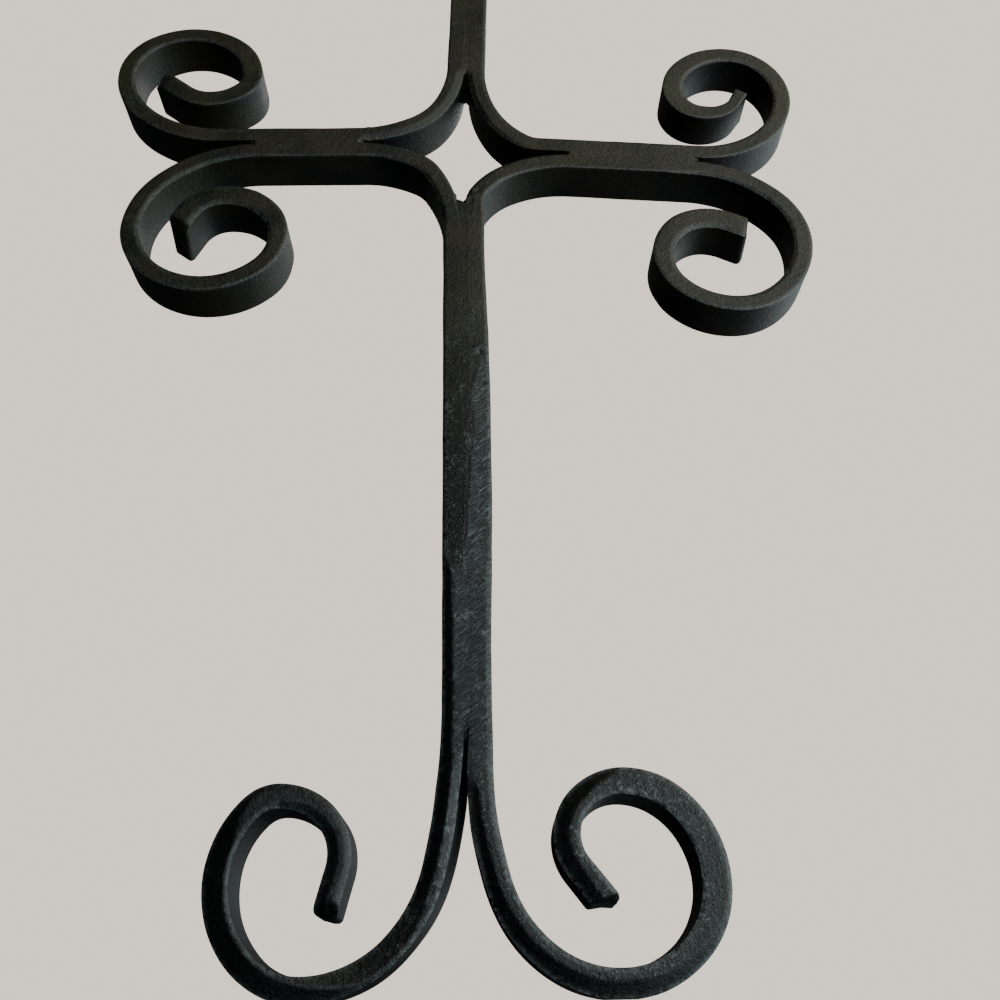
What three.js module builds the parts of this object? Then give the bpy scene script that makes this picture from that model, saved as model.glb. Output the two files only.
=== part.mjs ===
// A wrought iron cross. Four long flat bars are bent round the crossing, run side by side in pairs
// along the shaft and the arms, and end in open scrolls. A weld joins each pair.
//
// Lengths are in millimetres. X runs to the right along the arms, Z up the shaft, and the front of
// the cross looks along -Y. The back lies in the plane Y = 0, and the origin is at the top of the
// centre opening, where a nail takes the cross. Outlines are drawn in the plane of the cross,
// measured from the crossing, with headings in degrees anticlockwise from +X.

import * as THREE from 'three';

// The flat bar
const barThickness = 6.2;
const barDepth = 15;
const edgeBevel = 0.5;
const tipRadius = 1.6;

// The welds between two bars that run side by side. Each runs out past both ends of its seam. The one
// along the shaft rises farther into the centre opening, and its foot slopes down to the back.
const seamGap = 1.6;
const weldClearance = 0.3;
const weldRunOut = 3;
const shaftWeldRise = 14;
const shaftWeldSlope = 12;

// The finest turn between two facets of a bend, in degrees
const facetTurn = 7.5;

// The seams: the height at which each meets the shaft's line, and its heading away from the crossing
const topSeam = { height: 0, heading: 88 };
const leftSeam = { height: 2, heading: 180 };
const rightSeam = { height: -1.5, heading: -4.5 };
const shaftSeam = { height: 0, heading: 270 };

// The bars are bent by hand, so each bend has its own radius, measured to the middle of the bar.
// The bend at the crossing is in three equal parts, from the stem to the arm. Each length runs from
// the crossing to where the bar leaves its seam. A scroll goes in eighths of a turn, then through an
// end bend to a straight tip, whose inner side runs past the outer side by the skew.
const topArmLength = 114;
const topScroll = { radii: [36, 29, 25, 23, 21, 18, 15, 13.5], endRadius: 12.5, endTurn: 40, tip: 8, skew: 0 };
const upperLeftBar = {
  name: 'upper_left_bar',
  stemSeam: topSeam,
  armSeam: leftSeam,
  crossingRadii: [40.5, 24.5, 42.5],
  armLength: 87.5,
  armScroll: { radii: [41.5, 29, 20, 23, 27, 21, 10.5, 17.5], endRadius: 15.5, endTurn: 40, tip: 10.5, skew: 0 },
  stemLength: topArmLength,
  stemScroll: topScroll,
};
const upperRightBar = {
  name: 'upper_right_bar',
  stemSeam: topSeam,
  armSeam: rightSeam,
  crossingRadii: [50.5, 33, 10],
  armLength: 85,
  armScroll: { radii: [32.5, 29, 23.5, 18.5, 22, 19.5, 12, 11.5], endRadius: 12.5, endTurn: 60, tip: 8, skew: 0 },
  stemLength: topArmLength,
  stemScroll: topScroll,
};
const lowerLeftBar = {
  name: 'lower_left_bar',
  stemSeam: shaftSeam,
  armSeam: leftSeam,
  crossingRadii: [53, 14, 41],
  armLength: 73.5,
  armScroll: { radii: [44, 30.5, 25, 27, 26.5, 17.5, 16.5, 21], endRadius: 12.5, endTurn: 65, tip: 6.5, skew: 1.4 },
  stemLength: 213.5,
  stemScroll: {
    lead: [{ radius: 128, turn: 15 }, { radius: 39, turn: 30 }],
    radii: [31, 20, 27, 24.5, 9.5, 17],
    endRadius: 14,
    endTurn: 60,
    tip: 11,
    skew: 0,
  },
};
const lowerRightBar = {
  name: 'lower_right_bar',
  stemSeam: shaftSeam,
  armSeam: rightSeam,
  crossingRadii: [9.5, 25.5, 43],
  armLength: 81.5,
  armScroll: { radii: [41.5, 27.5, 30.5, 22.5, 25, 16.5, 16.5, 16], endRadius: 16, endTurn: 23, tip: 6.5, skew: 1.4 },
  stemLength: 224.5,
  stemScroll: {
    lead: [{ radius: 95.5, turn: 15 }, { radius: 34.5, turn: 30 }],
    radii: [29.5, 25.5, 22, 25.5, 21, 15],
    endRadius: 12.5,
    endTurn: 83,
    tip: 10.5,
    skew: 3,
  },
};

// Headings and lines in the plane of the cross
const quarterTurn = 90;
const halfTurn = 180;
const fullTurn = 360;
const eighthTurn = fullTurn / 8;

function along(heading) {
  const angle = THREE.MathUtils.degToRad(heading);
  return new THREE.Vector2(Math.cos(angle), Math.sin(angle));
}

function leftOf(heading) {
  return along(heading + quarterTurn);
}

function step(point, heading, length) {
  return point.clone().addScaledVector(along(heading), length);
}

// The turn from one heading to another, the short way round
function turnBetween(from, to) {
  return THREE.MathUtils.euclideanModulo(to - from + halfTurn, fullTurn) - halfTurn;
}

// A bar stands off its seam by half the gap and half its own thickness
const seamOffset = (seamGap + barThickness) / 2;

function seamStart(seam) {
  return new THREE.Vector2(0, seam.height);
}

// Lays bends and straight stretches end to end from a point. A bend to the left has a positive turn.
function lay(start, startHeading, stretches) {
  const laid = [];
  let from = start;
  let heading = startHeading;
  for (const stretch of stretches) {
    const turn = stretch.turn ?? 0;
    const toCentre = heading + quarterTurn * Math.sign(turn);
    const centre = turn ? step(from, toCentre, stretch.radius) : null;
    const to = turn ? step(centre, toCentre + halfTurn + turn, stretch.radius) : step(from, heading, stretch.length);
    laid.push({ ...stretch, from, to, heading, turn, centre });
    from = to;
    heading += turn;
  }
  return laid;
}

// The corner of a tip, rounded from the side of the bar to its end face; side is 1 on the left and -1
// on the right, and reach is how far the corner runs past the end of the tip
function tipCorner(end, heading, side, reach) {
  const facets = 3;
  const centre = step(end, heading, reach - tipRadius);
  centre.addScaledVector(leftOf(heading), side * (barThickness / 2 - tipRadius));
  const points = [];
  for (let i = 0; i <= facets; i++) {
    points.push(step(centre, heading + side * quarterTurn * (1 - i / facets), tipRadius));
  }
  return points;
}

// One side of half a bar, from the crossing to the rounded corner of its tip
function sideOf({ laid, curl, skew }, side) {
  const half = side * barThickness / 2;
  const first = laid[0];
  const tip = laid[laid.length - 1];
  const points = [first.from.clone().addScaledVector(leftOf(first.heading), half)];
  for (const stretch of laid.slice(0, -1)) {
    if (!stretch.turn) {
      points.push(stretch.to.clone().addScaledVector(leftOf(stretch.heading), half));
      continue;
    }
    const facets = Math.ceil(Math.abs(stretch.turn) / facetTurn);
    const bendSide = Math.sign(stretch.turn);
    const radius = stretch.radius - bendSide * half;
    for (let i = 1; i <= facets; i++) {
      const heading = stretch.heading + stretch.turn * i / facets;
      points.push(step(stretch.centre, heading - bendSide * quarterTurn, radius));
    }
  }
  return [...points, ...tipCorner(tip.to, tip.heading, side, side * curl * skew / 2)];
}

// A scroll that curls to one side: 1 to the left and -1 to the right
function scrollStretches(scroll, side) {
  const lead = scroll.lead ?? [];
  return [
    ...lead.map(({ radius, turn }) => ({ radius, turn: side * turn })),
    ...scroll.radii.map((radius) => ({ radius, turn: side * eighthTurn })),
    { radius: scroll.endRadius, turn: side * scroll.endTurn },
    { length: scroll.tip },
  ];
}

// Lays out one bar. Both halves start where the bend at the crossing leaves the stem: one goes through
// the bend and along the arm, the other back along the stem. Each knows the side that its scroll
// curls to, and between which distances from the crossing it runs straight along its seam.
function layBar(bar) {
  const inward = bar.stemSeam.heading + halfTurn;
  const outward = bar.armSeam.heading;
  const turn = turnBetween(inward, outward);
  const side = Math.sign(turn);
  const stemOrigin = seamStart(bar.stemSeam).addScaledVector(leftOf(inward), side * seamOffset);
  const armOrigin = seamStart(bar.armSeam).addScaledVector(leftOf(outward), side * seamOffset);
  const bends = bar.crossingRadii.map((radius) => ({ radius, turn: turn / bar.crossingRadii.length }));

  // The bend slides along the stem until it runs out on the arm's line
  const across = lay(new THREE.Vector2(), inward, bends)[bends.length - 1].to;
  const rest = armOrigin.clone().sub(stemOrigin).sub(across);
  const slide = rest.cross(along(outward)) / along(inward).cross(along(outward));
  const start = step(stemOrigin, inward, slide);
  const armFrom = start.clone().add(across).sub(armOrigin).dot(along(outward));
  const stemFrom = -slide;

  const arm = lay(start, inward, [
    ...bends,
    { length: bar.armLength - armFrom },
    ...scrollStretches(bar.armScroll, side),
  ]);
  const stem = lay(start, bar.stemSeam.heading, [
    { length: bar.stemLength - stemFrom },
    ...scrollStretches(bar.stemScroll, -side),
  ]);
  return {
    name: bar.name,
    arm: { laid: arm, curl: side, skew: bar.armScroll.skew, from: armFrom, to: bar.armLength },
    stem: { laid: stem, curl: -side, skew: bar.stemScroll.skew, from: stemFrom, to: bar.stemLength },
  };
}

const iron = new THREE.MeshStandardMaterial({ color: 0x2b2d2c, roughness: 0.55, metalness: 0.6 });
const weldIron = new THREE.MeshStandardMaterial({ color: 0x232526, roughness: 0.65, metalness: 0.6 });

// A bar is the strip between its two sides, with every long edge bevelled
function makeBar({ name, arm, stem }) {
  const outline = [
    ...sideOf(arm, 1),
    ...sideOf(arm, -1).reverse(),
    ...sideOf(stem, 1).slice(1),
    ...sideOf(stem, -1).reverse().slice(0, -1),
  ];
  const geometry = new THREE.ExtrudeGeometry(new THREE.Shape(outline), {
    depth: barDepth - 2 * edgeBevel,
    bevelThickness: edgeBevel,
    bevelSize: edgeBevel,
    bevelOffset: -edgeBevel,
    bevelSegments: 1,
  });
  geometry.translate(0, 0, edgeBevel);
  geometry.rotateX(Math.PI / 2);
  const mesh = new THREE.Mesh(geometry, iron);
  mesh.name = name;
  return mesh;
}

// A weld fills the gap along a seam, from where both bars run straight to where the first one leaves
// it. Its section widens into the bevels at the front and the back.
function makeWeld(name, seam, halves, rise = weldRunOut, slope = 0) {
  const web = seamGap / 2 - weldClearance;
  const cap = web + edgeBevel;
  const front = barDepth - edgeBevel;
  const corners = [
    [cap, 0], [web, edgeBevel], [web, front], [cap, barDepth],
    [-cap, barDepth], [-web, front], [-web, edgeBevel], [-cap, 0],
  ];
  const section = new THREE.Shape(corners.map(([across, depth]) => new THREE.Vector2(across, -depth)));
  const from = Math.max(...halves.map((half) => half.from)) - rise;
  const to = Math.min(...halves.map((half) => half.to)) + weldRunOut;
  const geometry = new THREE.ExtrudeGeometry(section, { depth: to - from, bevelEnabled: false });
  slopeEnd(geometry, to - from, slope);

  const heading = along(seam.heading);
  const right = new THREE.Vector3(heading.y, 0, -heading.x);
  const back = new THREE.Vector3(0, 1, 0);
  const outward = new THREE.Vector3(heading.x, 0, heading.y);
  const start = step(seamStart(seam), seam.heading, from);
  const mesh = new THREE.Mesh(geometry, weldIron);
  mesh.setRotationFromMatrix(new THREE.Matrix4().makeBasis(right, back, outward));
  mesh.position.set(start.x, 0, start.y);
  mesh.name = name;
  return mesh;
}

// Draws the back of a weld's far end out by the slope, and the front not at all
function slopeEnd(geometry, length, slope) {
  const position = geometry.getAttribute('position');
  for (let i = 0; i < position.count; i++) {
    const isFarEnd = position.getZ(i) > length / 2;
    const toBack = 1 + position.getY(i) / barDepth;
    position.setZ(i, position.getZ(i) + (isFarEnd ? slope * toBack : 0));
  }
}

const upperLeft = layBar(upperLeftBar);
const upperRight = layBar(upperRightBar);
const lowerLeft = layBar(lowerLeftBar);
const lowerRight = layBar(lowerRightBar);

const cross = new THREE.Group();
cross.add(makeBar(upperLeft));
cross.add(makeBar(upperRight));
cross.add(makeBar(lowerLeft));
cross.add(makeBar(lowerRight));
cross.add(makeWeld('top_arm_weld', topSeam, [upperLeft.stem, upperRight.stem]));
cross.add(makeWeld('left_arm_weld', leftSeam, [upperLeft.arm, lowerLeft.arm]));
cross.add(makeWeld('right_arm_weld', rightSeam, [upperRight.arm, lowerRight.arm]));
cross.add(makeWeld('shaft_weld', shaftSeam, [lowerLeft.stem, lowerRight.stem], shaftWeldRise, shaftWeldSlope));

// The nail sits under the lower end of the top weld
const nailDistance = Math.max(upperLeft.stem.from, upperRight.stem.from) - weldRunOut;
cross.position.z = -step(seamStart(topSeam), topSeam.heading, nailDistance).y;

export default cross;
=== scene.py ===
"""A wrought iron cross for Blender 4.5: four flat bars, hammered and bent into open scrolls, and the
four welds that join them, inside a plain pale room.

Sizes in the tables are in millimetres. The front of the cross looks along -Y, Z runs up the shaft, and
headings are in degrees anticlockwise from +X, seen from the front. Each bar has two halves, its stem and
its arm. Its outer side is the one by the seam, and its inner side is the one that its scrolls curl to."""

import math
from dataclasses import dataclass

import bmesh
import bpy
from bpy.props import FloatProperty, FloatVectorProperty, PointerProperty
from bpy.types import Operator, Panel, PropertyGroup
from mathutils import Matrix, Vector, noise


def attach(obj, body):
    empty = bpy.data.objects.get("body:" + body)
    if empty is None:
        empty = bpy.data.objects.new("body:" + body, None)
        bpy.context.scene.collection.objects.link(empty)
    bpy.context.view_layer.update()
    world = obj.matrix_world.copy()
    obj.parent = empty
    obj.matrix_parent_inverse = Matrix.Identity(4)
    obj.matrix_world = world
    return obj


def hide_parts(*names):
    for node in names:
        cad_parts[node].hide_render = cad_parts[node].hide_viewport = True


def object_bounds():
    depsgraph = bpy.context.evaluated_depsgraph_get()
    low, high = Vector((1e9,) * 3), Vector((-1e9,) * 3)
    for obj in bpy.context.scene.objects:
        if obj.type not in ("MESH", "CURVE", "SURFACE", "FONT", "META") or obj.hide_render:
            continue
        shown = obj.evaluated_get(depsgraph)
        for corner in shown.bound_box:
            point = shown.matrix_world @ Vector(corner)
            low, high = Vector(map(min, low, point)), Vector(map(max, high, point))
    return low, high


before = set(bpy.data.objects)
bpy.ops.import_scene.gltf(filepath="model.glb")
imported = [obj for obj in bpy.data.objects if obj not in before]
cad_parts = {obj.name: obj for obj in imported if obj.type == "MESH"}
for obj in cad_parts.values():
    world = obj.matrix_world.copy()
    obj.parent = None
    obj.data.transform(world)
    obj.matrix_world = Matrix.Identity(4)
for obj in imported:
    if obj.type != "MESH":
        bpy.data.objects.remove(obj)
cad_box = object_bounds()

bl_info = {
    "name": "Wrought Iron Cross",
    "version": (1, 0, 0),
    "blender": (4, 5, 0),
    "location": "View3D > Sidebar > Cross",
    "description": "Builds a wrought iron wall cross of hammered bars with open scrolls",
    "category": "Add Mesh",
}

MM = 0.001
TINY = 1e-6

# The seams: the height at which each meets the shaft's line, and its heading away from the crossing
SEAMS = {"top": (0.0, 88.0), "left": (2.0, 180.0), "right": (-1.5, -4.5), "shaft": (0.0, 270.0)}
SEAM_GAP = 1.6

# Each bar: the bend at the crossing in three equal turns, and for each half its seam, the distance at which
# it leaves it, and its scroll: leading bends, the radii of eighths of a turn, an end bend and a straight tip
TOP_SCROLL = ((), (36, 29, 25, 23, 21, 18, 15, 13.5), (12.5, 40), 8)
BARS = {
    "upper_left_bar": {
        "stem": ("top", 114, *TOP_SCROLL),
        "crossing": (40.5, 24.5, 42.5),
        "arm": ("left", 87.5, (), (41.5, 29, 20, 23, 27, 21, 10.5, 17.5), (15.5, 40), 10.5),
    },
    "upper_right_bar": {
        "stem": ("top", 114, *TOP_SCROLL),
        "crossing": (50.5, 33, 10),
        "arm": ("right", 85, (), (32.5, 29, 23.5, 18.5, 22, 19.5, 12, 11.5), (12.5, 60), 8),
    },
    "lower_left_bar": {
        "stem": ("shaft", 213.5, ((128, 15), (39, 30)), (31, 20, 27, 24.5, 9.5, 17), (14, 60), 11),
        "crossing": (53, 14, 41),
        "arm": ("left", 73.5, (), (44, 30.5, 25, 27, 26.5, 17.5, 16.5, 21), (12.5, 65), 6.5),
    },
    "lower_right_bar": {
        "stem": ("shaft", 224.5, ((95.5, 15), (34.5, 30)), (29.5, 25.5, 22, 25.5, 21, 15), (12.5, 83), 10.5),
        "crossing": (9.5, 25.5, 43),
        "arm": ("right", 81.5, (), (41.5, 27.5, 30.5, 22.5, 25, 16.5, 16.5, 16), (16, 23), 6.5),
    },
}
CROSSING_BARS = ("upper_left_bar", "upper_right_bar")

# The worn front edges, per half: from each distance from the crossing on, the width and drop of the outer
# bevel and of the inner one
EDGES = {
    ("upper_left_bar", "stem"): (
        (44, 3, 0.9, 0.6, 0.3), (50, 0.4, 0.1, 0.8, 0.3),
    ),
    ("upper_left_bar", "arm"): (
        (0, 3, 0.9, 0.6, 0.3), (34, 2.6, 0.7, 0.8, 0.3), (40, 0.4, 0.1, 1, 0.4), (84, 0.6, 0.2, 1, 0.4),
    ),
    ("upper_right_bar", "stem"): (
        (0, 2, 1, 1.2, 0.3), (40, 1.6, 0.8, 1, 0.3), (46, 0.4, 0.1, 0.8, 0.3),
    ),
    ("upper_right_bar", "arm"): (
        (0, 1.6, 0.8, 1.2, 0.3), (36, 0.8, 0.3, 1, 0.4), (80, 0.6, 0.2, 1, 0.4),
    ),
    ("lower_left_bar", "stem"): (
        (0, 0.8, 0.3, 1.5, 0.8), (60, 0.3, 0.1, 0.8, 0.4), (160, 0.3, 0.1, 0.8, 0.5),
        (168, 0.3, 0.1, 3, 1.5), (213, 0.6, 0.2, 3.2, 1.8), (222, 2.3, 0.5, 4, 2.4), (240, 2.3, 0.5, 4, 2.3),
        (252, 0.8, 0.3, 3.8, 2.1), (264, 0.6, 0.2, 5.4, 1.6), (278, 1, 0.5, 5, 1.5), (286, 3, 1.5, 3, 0.9),
        (294, 4.6, 2.1, 1.4, 0.4), (302, 5.2, 2.3, 0.8, 0.3), (338, 5.2, 2.3, 0.8, 0.3),
        (350, 1.4, 0.5, 0.8, 0.3), (362, 1.4, 0.6, 2.4, 0.8), (372, 1.6, 0.9, 3.2, 1.2),
    ),
    ("lower_left_bar", "arm"): (
        (0, 0.8, 0.3, 1.5, 0.8), (36, 0.5, 0.2, 0.5, 0.2), (68, 0.5, 0.2, 0.5, 0.2),
        (80, 0.8, 0.3, 1.2, 0.5),
    ),
    ("lower_right_bar", "stem"): (
        (0, 1.2, 0.5, 1.2, 0.6), (24, 0.3, 0.1, 0.8, 0.3), (160, 0.3, 0.1, 0.8, 0.4),
        (168, 0.3, 0.1, 1.4, 0.8), (213, 0.4, 0.2, 1.4, 0.7), (222, 2.2, 1.2, 1.3, 0.6),
        (230, 2.7, 1.6, 1.2, 0.5), (262, 3.4, 2.1, 0.8, 0.3), (292, 3.8, 2.2, 0.8, 0.3),
        (308, 3, 1.7, 0.8, 0.3), (322, 1, 0.4, 0.8, 0.3), (345, 1, 0.4, 0.8, 0.3), (364, 1.2, 0.5, 0.8, 0.3),
        (374, 3.8, 2.3, 0.8, 0.3), (394, 3.6, 2, 0.8, 0.3), (405, 2.8, 1.5, 0.8, 0.3),
    ),
    ("lower_right_bar", "arm"): (
        (0, 1.2, 0.5, 1.2, 0.6), (36, 0.6, 0.2, 0.5, 0.2), (72, 0.6, 0.2, 0.5, 0.2),
        (84, 0.8, 0.3, 1.2, 0.5),
    ),
}

# The spread of the hammered bar, per half: from each distance to its tip on, how much wider it is on its
# outer and its inner side, and how much shallower at the back
SPREADS = {
    ("upper_left_bar", "arm"): (
        (50, 0, 1, 0), (75, 0, 0, 0),
    ),
    ("upper_right_bar", "arm"): (
        (0, 0, -0.8, 1.8), (3, 0, -1.2, 1.8), (8, 0, -1.8, 1.8), (20, 0, 0.4, 1.8), (36, 0, 1.5, 1.4),
        (60, 0, 1, 0.6), (90, 0, 0, 0),
    ),
    ("lower_left_bar", "arm"): (
        (30, 1.9, 0, 0), (52, 0, 0, 0),
    ),
    ("lower_right_bar", "arm"): (
        (24, 2.2, 0, 0), (46, 0, 0, 0),
    ),
    ("lower_right_bar", "stem"): (
        (30, 0.4, 0.2, 0), (55, 0.4, 0.5, 0), (77, 0.3, 0.9, 0), (95, 0.3, 0.6, 0), (120, 0.3, 0.2, 0),
        (143, 0.3, 0, 0), (160, 0.6, 0, 0), (170, 1.1, -0.3, 0), (183, 1.2, -0.5, 0), (198, 0, -0.5, 0),
        (215, 0, -0.5, 0), (235, 0, 0.1, 0), (262, 0, 0.7, 0), (300, 0, 0.9, 0), (322, 0, 0.7, 0),
        (345, 0, 0, 0),
    ),
    ("lower_left_bar", "stem"): (
        (45, 0, 0, 0), (56, 0.6, 0, 0), (76, 0.6, 0, 0), (90, 0, 0, 0),
    ),
}
NO_SPREAD = ((0, 0.0, 0.0, 0.0),)

# A twist in the left leg: from each distance from the crossing on, how far its front has moved to the
# inner side and its back to the outer side
TWISTS = {
    ("lower_left_bar", "stem"): (
        (207, 0, 0), (216, 0.5, 0.4), (228, 0.9, 1.1), (244, 0.7, 0.9), (262, 0.1, 0.2), (276, 0, 0),
    ),
}
NO_TWIST = ((0, 0.0, 0.0),)

# How each tip is cut: how far its inner side runs past its outer side, how far its back runs past its
# front, over what length its front slopes away, and how much longer it is than a plain tip
TIPS = {
    ("upper_left_bar", "arm"): (3, 0, 4, 3.8),
    ("lower_left_bar", "arm"): (1.4, 2.5, 2.5, 0),
    ("lower_right_bar", "arm"): (1.4, 0.8, 0, 0),
    ("lower_left_bar", "stem"): (0, 0, 4, 0),
    ("lower_right_bar", "stem"): (3, 0, 1.5, 0),
}
PLAIN_TIP = (0.0, 0.0, 0.0, 0.0)

# The slope of such a front, and the lengths over which a slanted and a longer tip are drawn out
TIP_SLOPE = 0.9
SLANT_LENGTH = 5.0
DRAW_LENGTH = 12.0

# The hammered front: how many hammer depths it lies back, and its waves, each with its length, its slice of
# the noise and its strength. Then the waves of the walls: their length along and across, and their slice.
HAMMER_SINK = 1.4
FRONT_WAVES = ((13.0, 0.7, 1.0), (4.5, 5.2, 0.4))
WALL_WAVES = (11.0, 9.0)
WALL_SLICE = 2.0

# Over what length a bar squares up beside its seam, and its two halves part in their edges
HOLD_LENGTH = 4.0
SHARE_LENGTH = 6.0

# The worn strip along each edge, which also carries a painted highlight: its width, its inset, and how far
# off it seems on a ridge and by a seam
EDGE_WEAR_AND_HIGHLIGHT_WIDTH = 0.9
EDGE_WEAR_AND_HIGHLIGHT_INSET = 0.2
RIDGE_OFFSET = 0.3
SEAM_OFFSET = 9.0

# The ground facet on the right of the shaft: its left edge by distance down, where it fades in and out,
# its slope, and how its edge blurs and wavers
GROUND_EDGE = (
    (118, 6.5), (128, 4.5), (146, 2.2), (164, 1.6), (184, 0.6), (194, -0.6), (200, -1.2), (206, -1.4),
)
GROUND_START = (118, 140)
GROUND_END = (198, 206)
GROUND_SLOPE = 0.13
GROUND_BLUR = 0.3
WAVER = 0.9
WAVER_LENGTH = 7.0
WAVER_SLICE = (3.1, 0.4)

# The grinding marks above the fork of the foot: their fades, the slant of the last, left edge and strength
FORK_START = (200, 210)
FORK_END = (252, 264)
FORK_SLANT = 0.4
FORK_LEFT = -3.6
FORK_STRENGTH = 0.6

# The front of the shaft is a low roof. By distance down: the place of its rounded ridge, and its slopes to
# the left and the right. It ends between two distances from the middle.
ROOF = (
    (60, 1.2, 0, 0), (68, 1.2, 0.035, 0.03), (116, 1.2, 0.035, 0.03), (130, 0.8, 0.1, 0), (196, -1, 0.1, 0),
    (206, -1, 0, 0),
)
RIDGE_RADIUS = 0.5
ROOF_END = (9.0, 13.0)

# Weld spatter in the centre opening: place across and up, radius and height, then how far along a bar it
# lies and between which depths it appears
SPATTER = (
    (-3.9, -57.6, 1.2, 0.7), (-2.2, -60.6, 1.3, 0.8), (-1, 9, 1.6, 0.5), (1.4, 5.5, 1.4, 0.5),
    (-33.5, -33, 1.5, 0.6), (-31.6, -35.8, 1.4, 0.5), (34.2, -37.5, 1.5, 0.6), (32.8, -40.5, 1.3, 0.5),
)
SPATTER_LENGTH = 16.0
SPATTER_FADE = (-4.0, -9.0)

# Dents and lumps on the front: place across and up, radius, and depth, which is negative for a lump
FRONT_MARKS = (
    (3.3, -58.2, 1, -0.5), (4, -61.2, 0.9, -0.4), (3.6, -65, 0.8, -0.25), (3.2, -69, 0.9, -0.25),
    (3.4, -73.5, 0.8, -0.2), (-2.2, -58.5, 1.1, -0.4), (-0.2, -60.5, 0.8, 0.5), (1.8, -59.8, 0.9, 0.4),
    (5.2, -58.8, 0.8, 0.3), (2.6, -63.2, 0.8, 0.25), (4.4, -127.6, 1.3, 0.9), (3.3, -126, 0.9, -0.6),
    (5, -139.4, 1.2, 0.8), (3.9, -138, 0.8, -0.5), (5.4, -131, 0.7, 0.4), (-75.5, -35.2, 1.2, 0.5),
    (-77, -34, 0.7, -0.4), (-34.3, -27.5, 0.8, -0.35), (108.6, -96.1, 0.8, 0.4), (105.2, -36, 0.8, 0.35),
    (-48, -267.4, 1.6, 0.3),
)

# How many radii out a bump ends, and how fast it falls
BUMP_REACH = 2.0
BUMP_FALL = 2.0

# The welds: the seam of each, the bars to the left and the right of it, and the half that it joins
WELDS = {
    "top_arm_weld": ("top", "upper_left_bar", "upper_right_bar", "stem"),
    "left_arm_weld": ("left", "lower_left_bar", "upper_left_bar", "arm"),
    "right_arm_weld": ("right", "upper_right_bar", "lower_right_bar", "arm"),
    "shaft_weld": ("shaft", "lower_right_bar", "lower_left_bar", "stem"),
}

# How far a weld runs out past its seam, and how far the one on the shaft rises towards the crossing
WELD_RUN_OUT = 3.0
SHAFT_WELD_RISE = 14.0

# How far a weld reaches into the bars beside it, and how far it lies behind their front
WELD_OVERLAP = 0.2
WELD_SINK = 0.02

# The foot of the shaft's weld: its length, how far its back slopes out, and how much shorter it is
FOOT_LENGTH = 40.0
FOOT_SLOPE = 12.0
FOOT_CUT = 3.4

# The rough ends of a weld, NEAR by the crossing: the length of each, and how far its middle and its front
# are hollowed. Then how rough both are along the seam and on the front, and how coarse.
NEAR_LENGTH, NEAR_HOLLOW, NEAR_SINK = 3.0, 1.6, 0.8
FAR_LENGTH, FAR_HOLLOW, FAR_SINK = 2.0, 0.9, 0.7
END_ROUGHNESS = 0.7
END_PITS = 0.3
PIT_SIZE = 1.3
PIT_SIZE_DEEP = 1.6

# The places that the paint's streaks follow start here on an arm, and are positive on these bars
ARM_PLACE = 100.0
POSITIVE_BARS = ("lower_left_bar", "upper_right_bar")

# How fine the meshes are: the facets of a corner, the cuts across and deep in the section of a bar and of
# a weld, the distance between two rings of a weld, the rings of a rounded tip, and how near points merge
CORNER_FACETS = 3
BAR_CUTS = (11, 13)
WELD_CUTS = (9, 13)
WELD_STEP = 0.5
TIP_RINGS = 5
MERGE_DISTANCE = 0.003

# The turn, in degrees, from which an edge is shaded sharp
SHARP_TURN = 75.0

# How far, in radians, a point may lie before the start of a bend
BEND_SLACK = 0.01

# The paint's noises: the scale, detail and roughness of each, and the stretch of two, one of them slanted
NOISES = {
    "blotch": (55.0, 4.0, 0.55),
    "patch": (160.0, 3.0, 0.6),
    "mottle": (650.0, 5.0, 0.7),
    "grain": (1500.0, 3.0, 0.75),
    "rust": (95.0, 3.0, 0.7),
}
STREAK_STRETCH = (90.0, 900.0, 900.0)
STREAK_NOISE = (1.0, 4.0, 0.6)
SCRATCH_STRETCH = (260.0, 260.0, 2600.0)
SCRATCH_NOISE = (1.0, 3.0, 0.6)
SCRATCH_EDGE = (0.38, 0.66)
SCRATCH_SLANT = 38.0

# Where the paint changes, in metres: the top of the dusty lower part, and the left side of the foot, which is
# painted darker as shade by keeping fewer light specks and scuffs, with the share of them that stays there
LOWER_TOP = (-0.18, -0.09)
FOOT_SHADE_SIDE = (-0.022, -0.008)
FOOT_SHADE_SHARE = 0.15

# The dull strip over the shaft's weld: its start, its end, and its sides by the square of the distance
STRIP_START = (0.206, 0.216)
STRIP_END = (0.238, 0.262)
STRIP_SIDE = (1.0e-6, 2.4e-6)

# Specks and dust show fully on faces that look forward this squarely, and only a share of them on the rest,
# so that walls and bevels are painted darker as shade
UNSHADED_FACING = (0.90, 0.975)
SHADED_FACE_SHARE = 0.12

# The noise values between which the film, spots, dust, scuffs with their painted edge highlight, and rust
# appear, and what makes up the spots
FILM_EDGE = (0.30, 0.62)
SPOT_SHARES = {"mottle": 0.5, "grain": 0.3, "patch": 0.2}
SPOT_EDGE = (0.52, 0.65)
# The patches that gather the spots are partly real specks, partly painted patchy highlights
SPOT_HIGHLIGHT_PATCHES = (0.40, 0.64)
SPOT_LEAST = 0.3
SPOT_MORE = 1.5
DUST_EDGE = (0.60, 0.69)
SCUFF_AND_HIGHLIGHT_EDGE = (0.36, 0.60)
RUST_EDGE = (0.735, 0.78)

# How strong each kind of wear is on the upper part, and how much stronger on the lower part. The scuffs are
# partly a painted highlight along the edges.
SPOTTED = (0.06, 0.34)
DUSTED = (0.10, 0.55)
SCUFFS_AND_EDGE_HIGHLIGHT = (0.16, 0.29)
RUSTED = 0.7
SCRATCHED = 0.45

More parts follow.
